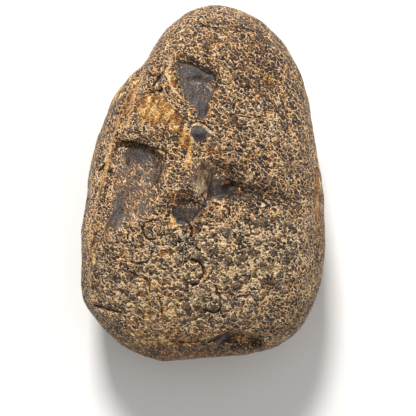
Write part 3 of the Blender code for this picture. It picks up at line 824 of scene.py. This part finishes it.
FIELDS = {
    "grit": Field("plain", 0.45, 1.0),
    "hue": Field("plain", 1.8, 3.0),
    "ragged": Field("plain", 3.4, 4.0),
    "cloud": Field("plain", 6.0, 3.0),
    "pore": Field("bent", 1.4, 1.0),
    "scratch": Field("grain", 0.8, 2.0),
    "streak": Field("grain", 1.8, 3.0),
}
FIELD_MIDDLE = 0.5
# Bent places wander this far, in bends that are this far apart.
SWAY = 1.8
SWAY_SIZE = 2.2
# The wood's grain leans this many degrees off the stone's length, and draws fields out along it.
GRAIN_TURN = 14.0
GRAIN_STRETCH = (1.0, 0.16, 1.0)


class Islands(NamedTuple):
    """Charcoal islands: their spacing, the reach of each one's painted shadow, their shade and
    greyness.
    """

    spacing: float
    gap: float
    shade: float
    slate: float


# Painted shadow: each island has a dark crescent painted at its lower right, as if lit from the
# upper left.
SMALL_ISLANDS = Islands(1.5, 0.32, -0.16, 0.725)
LARGE_ISLANDS = Islands(2.1, 0.45, -0.12, 0.815)
# An island starts this far inside its cell, as a share of the spacing, and domes up further in.
ISLAND_START = (0.09, 0.13)
DOME_RISE = (0.0, 0.30)
DOME_STEEPNESS = 0.25
# About six cells in ten are islands, each a little lighter or darker than the next. The threads
# that run between all cells are lighter than the ground by THREAD_LIGHT.
ISLAND_CELLS = (0.60, 0.64)
ISLAND_SPREAD = 0.30
THREAD_LIGHT = 0.69
# A single plate is all island, and its mark stands for how far inside a cell it is.
PLATE_START = (0.3, 0.5)
PLATE_INSIDE = (-0.1, 0.4)


class Dots(NamedTuple):
    """Small round dots: how far apart, their radius, and the share of them that is there."""

    spacing: float
    radius: float
    share: float


# Dark pits in the skin, and specks of skin left on bare floors. More pits open where the pore
# field is under PORE_PITS.
PITS = Dots(1.3, 0.24, 0.8)
SPECKS = Dots(1.2, 0.26, 0.45)
DOT_SOFTNESS = 0.1
PORE_PITS = (0.30, 0.35)

# Each mark's broken edge: none of it below the first value, and from the second up all of its
# strength, which is the third.
BROKEN_MARKS = {
    "plated": (0.35, 0.60, 1.0),
    "seam": (0.15, 0.45, 1.0),
    "crack": (0.42, 0.68, 0.92),
    "rust": (0.15, 0.75, 0.92),
    "pale": (0.2, 0.8, 0.3),
    # The last two marks are painted highlights and painted shade.
    "painted_highlight": (0.2, 0.9, 0.58),
    "painted_shade": (0.1, 0.9, -0.3),
}
# What each tone (0 dark, 1 light), each share and the height (in millimetres) is mixed from: a
# base, and how much of each part is added.
RECIPES = {
    "threads": (-1.16, {"grit": 2.2, "cloud": 0.7, "plated": 0.28}),
    "islands": (-0.86, {"grit": 1.8, "cloud": 0.7}),
    "seams": (0.34, {"grit": 0.9}),
    "bare edge": (0.35, {"ragged": -1.0, "grit": -0.7, "worn": 1.0}),
    "bare floor": (-0.30, {"scratch": 1.0, "grit": 0.6, "speck": 0.24, "worn": -0.38}),
    "bare grey": (0.32, {"worn": 0.12}),
    "ochre": (-0.87, {"streak": 2.55, "tone": 0.42}),
    "roughness": (0.74, {"slate": -0.20, "bare": -0.16}),
    "skin height": (-1.2, {"grit": 1.0, "pore": 0.8, "domes": 1.0, "pit": -0.4, "fibre": 1.6}),
}
FIBRE_CONTRAST = 1.4
# The skin darkens as it wears, and gives way to bare floor here. Rust fills half of each pit.
BARE_START = (0.30, 0.68)
WEAR_SHADE = -0.10
RUST_IN_PITS = 0.5
# Painted highlight: the skin is lighter along the lips of its cracks.
CRACK_LIP = (0.05, 0.30)
CRACK_LIP_HIGHLIGHT = 0.20
# Where the hue field is high the skin turns slate grey, and where it is low iron tints it.
SLATE_HUE = (0.48, 0.66)
IRON_HUE = (0.32, 0.52)
HUE_SHARE = 0.60
# How grey the painted highlights are, how tan left specks stay, how strongly rust and seams are
# coloured by iron, and how clear of it slate islands keep.
HIGHLIGHT_GREY = 1.4
SPECK_TAN = 0.6
RUST_IRON = 1.5
SLATE_CLEAR_OF_IRON = 0.65
SEAM_IRON = 0.15
SMOOTHEST = 0.52
# Bare floors keep this share of the skin's bump. Cracks sink, and seams and left specks stand up.
BARE_BUMP = 0.15
BARE_BUMP_START = (0.15, 0.5)
CRACK_BUMP = -0.45
SEAM_BUMP = 0.25
SPECK_BUMP = 0.06

TAN_TONES = [
    (0.00, "#180b03"), (0.15, "#33200f"), (0.30, "#533920"), (0.45, "#765333"), (0.60, "#9d7147"),
    (0.75, "#c6905a"), (0.88, "#e2ae76"), (1.00, "#f5cf9d"),
]
SLATE_TONES = [
    (0.00, "#1a0e06"), (0.20, "#372b1f"), (0.40, "#584a3b"), (0.60, "#7d6e5b"), (0.80, "#ad997f"),
    (1.00, "#e2d0b2"),
]
RUST_TONES = [
    (0.00, "#201005"), (0.25, "#5a3616"), (0.50, "#9c6329"), (0.70, "#ca8a3e"), (0.85, "#e3aa5a"),
    (1.00, "#f4d296"),
]


def tones(tree, tone, stops):
    """A tone from dark, 0, to light, 1, as one of the stone's colour scales."""
    ramp = add(tree, "ShaderNodeValToRGB", {"Fac": tone})
    scale = ramp.color_ramp
    for place, code in stops[1:-1]:
        scale.elements.new(place).color = linear(code)
    for element, (place, code) in ((scale.elements[0], stops[0]), (scale.elements[-1], stops[-1])):
        element.position, element.color = place, linear(code)
    return ramp.outputs["Color"]


def rising(tree, value, start, low=0.0, high=1.0):
    """A soft step from low to high while a value climbs through start's two bounds."""
    return add(
        tree, "ShaderNodeMapRange",
        {"Value": value, "From Min": start[0], "From Max": start[1], "To Min": low, "To Max": high},
        interpolation_type="SMOOTHSTEP",
    ).outputs[0]


def sum_of(tree, base, layers):
    """A base value with layers, each a value and how much of it, added one after another."""
    for layer, share in layers:
        feeds = {0: layer, 1: share, 2: base}
        base = add(tree, "ShaderNodeMath", feeds, operation="MULTIPLY_ADD").outputs[0]
    return base


def mixed(tree, recipe, parts):
    """One of the recipes, mixed from the parts made so far."""
    base, shares = RECIPES[recipe]
    return sum_of(tree, base, [(parts[name], share) for name, share in shares.items()])


def without(tree, value, share=1.0):
    """What is left of 1 when a share of a value is taken away."""
    return sum_of(tree, 1.0, [(value, -share)])


def larger(tree, first, *others):
    """The largest of some values."""
    for other in others:
        first = add(tree, "ShaderNodeMath", {0: first, 1: other}, operation="MAXIMUM").outputs[0]
    return first


def product(tree, first, *others):
    """Some values multiplied together."""
    for other in others:
        first = add(tree, "ShaderNodeMath", {0: first, 1: other}, operation="MULTIPLY").outputs[0]
    return first


def stone_places(tree):
    """The places that fields are read at, in millimetres: plain, bent, and along the grain."""
    metres = add(tree, "ShaderNodeTexCoord", {}).outputs["Object"]
    plain = add(
        tree, "ShaderNodeVectorMath", {0: metres, "Scale": 1 / MM}, operation="SCALE"
    ).outputs[0]
    turned = add(
        tree, "ShaderNodeVectorRotate", {"Vector": plain, "Angle": math.radians(GRAIN_TURN)},
        rotation_type="Z_AXIS",
    ).outputs[0]
    grain = add(
        tree, "ShaderNodeVectorMath", {0: turned, 1: GRAIN_STRETCH}, operation="MULTIPLY"
    ).outputs[0]
    sway = add(tree, "ShaderNodeTexNoise", {"Vector": plain, "Scale": 1 / SWAY_SIZE, "Detail": 1.0})
    bent = add(
        tree, "ShaderNodeVectorMath", {0: sway.outputs["Color"], 1: (SWAY,) * 3, 2: plain},
        operation="MULTIPLY_ADD",
    ).outputs[0]
    return {"plain": plain, "bent": bent, "grain": grain}


def stone_fields(tree, places):
    """Each field as natural unevenness from 0 to 1, about a half in the middle."""
    return {
        name: add(
            tree, "ShaderNodeTexNoise",
            {"Vector": places[field.where], "Scale": 1 / field.size, "Detail": field.detail},
        ).outputs["Fac"]
        for name, field in FIELDS.items()
    }


def scattered(tree, place, dots):
    """Small round dots on a share of scattered points, 1 inside each."""
    point = add(tree, "ShaderNodeTexVoronoi", {"Vector": place, "Scale": 1 / dots.spacing})
    own = add(tree, "ShaderNodeSeparateColor", {"Color": point.outputs["Color"]})
    there = add(
        tree, "ShaderNodeMath", {0: own.outputs[0], 1: dots.share}, operation="LESS_THAN"
    ).outputs[0]
    near, far = dots.radius - DOT_SOFTNESS, dots.radius + DOT_SOFTNESS
    start = (near / dots.spacing, far / dots.spacing)
    return product(tree, rising(tree, point.outputs["Distance"], start, low=1.0, high=0.0), there)


def broken_mark(tree, mark, ragged, start, end, strength):
    """A soft mark with its edge broken up: nothing below start, and its full strength from end."""
    torn = add(tree, "ShaderNodeMath", {0: ragged, 1: mark}, operation="ADD").outputs[0]
    return rising(tree, torn, (start, end), high=strength)


def add_islands(tree, skin, islands, bent, share, plate):
    """Lays a layer of islands over the skin where share is high, one of them on each plate."""
    on_plate = sum_of(tree, PLATE_INSIDE[0], [(plate, PLATE_INSIDE[1])])
    up_left = add(
        tree, "ShaderNodeVectorMath", {0: bent, 1: (-islands.gap, islands.gap, 0.0)},
        operation="ADD",
    ).outputs[0]
    # How far inside its cell each place lies, and the place up and to its left.
    depths = [
        add(
            tree, "ShaderNodeTexVoronoi", {"Vector": place, "Scale": 1 / islands.spacing},
            feature="DISTANCE_TO_EDGE",
        ).outputs["Distance"]
        for place in (bent, up_left)
    ]
    edge, behind = (larger(tree, depth, on_plate) for depth in depths)
    cell = add(tree, "ShaderNodeTexVoronoi", {"Vector": bent, "Scale": 1 / islands.spacing})
    own = add(tree, "ShaderNodeSeparateColor", {"Color": cell.outputs["Color"]}).outputs
    chosen = rising(tree, own[0], ISLAND_CELLS, low=1.0, high=0.0)
    chosen = larger(tree, chosen, rising(tree, plate, PLATE_START))
    inner = rising(tree, edge, ISLAND_START)
    outer = without(tree, inner)
    island = product(tree, inner, chosen, share)
    thread = product(tree, outer, share)
    # Painted shadow: dark where the place up and to the left is in an island and this place is not.
    gap = product(tree, rising(tree, behind, ISLAND_START), outer, chosen, share)
    shade = sum_of(tree, islands.shade, [(skin["shade"], 1.0), (own[1], ISLAND_SPREAD)])
    dome = product(tree, rising(tree, edge, DOME_RISE), share)

    threads = sum_of(tree, skin["tone"], [(thread, THREAD_LIGHT)])
    skin["tone"] = add(tree, "ShaderNodeMix", {0: island, 2: threads, 3: shade}).outputs[0]
    skin["slate"] = larger(tree, skin["slate"], product(tree, island, islands.slate))
    skin["domes"] = sum_of(tree, skin["domes"], [(dome, islands.spacing * DOME_STEEPNESS)])
    skin["painted_shadows"] = larger(tree, product(tree, skin["painted_shadows"], without(tree, island)), gap)


def stone_colour(tree, parts, seamless, rough):
    """The stone's colour by its tone: tan or slate grey, with ochre laid over where iron sat."""
    tone = parts["tone"]
    grey = larger(tree, rising(tree, parts["hue"], SLATE_HUE, high=HUE_SHARE), parts["slate"])
    grey = product(tree, grey, seamless)
    # Bare floors and painted highlights turn grey.
    grey = larger(
        tree, grey, product(tree, parts["bare"], mixed(tree, "bare grey", parts)),
        product(tree, parts["painted_highlight"], HIGHLIGHT_GREY),
    )
    grey = product(tree, grey, without(tree, parts["speck"], SPECK_TAN))
    colour = add(
        tree, "ShaderNodeMix",
        {0: grey, 6: tones(tree, tone, TAN_TONES), 7: tones(tree, tone, SLATE_TONES)},
        data_type="RGBA",
    ).outputs[2]
    iron = product(tree, rising(tree, parts["hue"], IRON_HUE, low=HUE_SHARE, high=0.0), rough)
    iron = larger(tree, product(tree, parts["rust"], RUST_IRON), iron)
    iron = product(tree, iron, without(tree, parts["slate"], SLATE_CLEAR_OF_IRON))
    iron = larger(tree, iron, product(tree, parts["seam"], SEAM_IRON))
    ochre = tones(tree, mixed(tree, "ochre", parts), RUST_TONES)
    return add(
        tree, "ShaderNodeMix", {0: iron, 6: colour, 7: ochre}, data_type="RGBA"
    ).outputs[2]


def silicified_wood():
    """Tan threads round charcoal islands, ochre where iron sat, bare and smooth in the hollows."""
    material = bpy.data.materials.new("silicified_wood")
    material.use_nodes = True
    tree = material.node_tree
    shader = tree.nodes["Principled BSDF"]
    mark = {
        name: add(tree, "ShaderNodeAttribute", {}, attribute_name=name).outputs["Fac"]
        for name in ("worn", "plate", "flank", *BROKEN_MARKS)
    }
    places = stone_places(tree)
    parts = stone_fields(tree, places)
    parts["ragged"] = sum_of(tree, -FIELD_MIDDLE, [(parts["ragged"], 1.0)])
    parts["worn"] = mark["worn"]
    for name, edge in BROKEN_MARKS.items():
        parts[name] = broken_mark(tree, mark[name], parts["ragged"], *edge)

    # The skin: small islands everywhere, and larger ones where plates show.
    skin = {
        "tone": mixed(tree, "threads", parts), "shade": mixed(tree, "islands", parts),
        "slate": 0.0, "domes": 0.0, "painted_shadows": 0.0,
    }
    add_islands(tree, skin, SMALL_ISLANDS, places["bent"], share=1.0, plate=0.0)
    add_islands(
        tree, skin, LARGE_ISLANDS, places["bent"], share=parts["plated"], plate=mark["plate"]
    )
    tone = skin["tone"]

    # Long grain on the flank.
    fibre = sum_of(tree, -FIELD_MIDDLE, [(parts["scratch"], 1.0)])
    parts["fibre"] = product(tree, fibre, mark["flank"])
    tone = sum_of(tree, tone, [(parts["fibre"], FIBRE_CONTRAST)])

    # Seams of tan silica lie over the islands, unbroken.
    seamless = without(tree, parts["seam"])
    seam_tone = mixed(tree, "seams", parts)
    tone = add(tree, "ShaderNodeMix", {0: parts["seam"], 2: tone, 3: seam_tone}).outputs[0]

    # Worn floors: bare charcoal with faint scratches, and specks of the skin left on them.
    bare = rising(tree, mixed(tree, "bare edge", parts), BARE_START)
    rough = without(tree, bare)
    parts["speck"] = scattered(tree, places["plain"], SPECKS)
    tone = sum_of(tree, tone, [(mark["worn"], WEAR_SHADE)])
    floor_tone = mixed(tree, "bare floor", parts)
    tone = add(tree, "ShaderNodeMix", {0: bare, 2: tone, 3: floor_tone}).outputs[0]

    # Cream silica, painted highlights, painted shade, pits with the islands' painted shadows,
    # painted highlights along the lips of cracks, and cracks.
    tone = sum_of(tree, tone, [(parts[name], 1.0) for name in ("pale", "painted_highlight", "painted_shade")])
    pit = larger(
        tree, scattered(tree, places["bent"], PITS),
        rising(tree, parts["pore"], PORE_PITS, low=1.0, high=0.0), skin["painted_shadows"],
    )
    pit = product(tree, pit, rough, seamless, without(tree, parts["rust"], RUST_IN_PITS))
    lip = rising(tree, mark["crack"], CRACK_LIP, high=CRACK_LIP_HIGHLIGHT)
    tone = sum_of(tree, tone, [(lip, rough)])
    dark = larger(tree, pit, parts["crack"])
    tone = add(tree, "ShaderNodeMix", {0: dark, 2: tone, 3: 0.0}).outputs[0]

    parts.update(tone=tone, bare=bare, slate=skin["slate"], domes=skin["domes"], pit=pit)
    colour = stone_colour(tree, parts, seamless, rough)
    tree.links.new(colour, shader.inputs["Base Color"])
    roughness = larger(tree, mixed(tree, "roughness", parts), SMOOTHEST)
    tree.links.new(roughness, shader.inputs["Roughness"])
    shader.inputs["IOR"].default_value = CHALCEDONY_IOR

    kept = rising(tree, mark["worn"], BARE_BUMP_START, low=1.0, high=BARE_BUMP)
    height = product(tree, mixed(tree, "skin height", parts), kept)
    height = sum_of(tree, height, [
        (parts["crack"], CRACK_BUMP), (parts["seam"], SEAM_BUMP),
        (product(tree, parts["speck"], bare), SPECK_BUMP),
    ])
    bump = add(tree, "ShaderNodeBump", {"Height": height, "Distance": MM, "Strength": 1.0})
    tree.links.new(bump.outputs["Normal"], shader.inputs["Normal"])
    return material


stone = stone_piece()
stone.data.materials.append(silicified_wood())
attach(stone, "root")
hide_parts("petrified_wood")

FLOOR_HALF = 3.0


def pale_floor():
    """A smooth pale table top, painted matt."""
    low, high = -FLOOR_HALF, FLOOR_HALF
    corners = [(low, low, 0.0), (high, low, 0.0), (high, high, 0.0), (low, high, 0.0)]
    mesh = bpy.data.meshes.new("floor")
    mesh.from_pydata(corners, [], [(0, 1, 2, 3)])
    floor = bpy.data.objects.new("floor", mesh)
    bpy.context.scene.collection.objects.link(floor)
    material = bpy.data.materials.new("matt_white_paint")
    material.use_nodes = True
    shader = material.node_tree.nodes["Principled BSDF"]
    shader.inputs["Base Color"].default_value = linear("#f4f2ef")
    shader.inputs["Roughness"].default_value = 0.8
    mesh.materials.append(material)


def soft_light(name, place, power, size):
    """A soft box that faces the stone: its place and size in metres, and its power in watts."""
    light = bpy.data.lights.new(name, "AREA")
    light.energy, light.size = power, size
    lamp = bpy.data.objects.new(name, light)
    lamp.location = place
    lamp.rotation_euler = (-Vector(place)).to_track_quat("-Z", "Y").to_euler()
    bpy.context.scene.collection.objects.link(lamp)


pale_floor()
soft_light("key", place=(-0.24, 1.56, 1.40), power=53.0, size=0.44)
soft_light("fill", place=(0.3, 0.1, 1.0), power=2.0, size=1.0)

ROOM_LIGHT = 0.34
world = bpy.data.worlds.new("studio")
world.use_nodes = True
room = world.node_tree.nodes["Background"]
room.inputs["Color"].default_value = (1.0, 1.0, 1.0, 1.0)
room.inputs["Strength"].default_value = ROOM_LIGHT
bpy.context.scene.world = world
bpy.context.scene.view_settings.view_transform = "Standard"

# The camera looks straight down on the scarred face, from arm's length above the widest line
# and a little off the stone's middle. It sees VIEW_SIZE metres square at the widest line.
WAIST_HEIGHT = REST_DROP * MM
CAMERA_ABOVE_WAIST = 0.520
CAMERA_ASIDE = (0.0017, -0.0094)
VIEW_SIZE = 0.1563
SENSOR_WIDTH = 36.0
camera_data = bpy.data.cameras.new("camera")
camera_data.sensor_width = SENSOR_WIDTH
camera_data.lens = SENSOR_WIDTH * CAMERA_ABOVE_WAIST / VIEW_SIZE
camera = bpy.data.objects.new("camera", camera_data)
camera.location = (*CAMERA_ASIDE, WAIST_HEIGHT + CAMERA_ABOVE_WAIST)
bpy.context.scene.collection.objects.link(camera)
bpy.context.scene.camera = camera
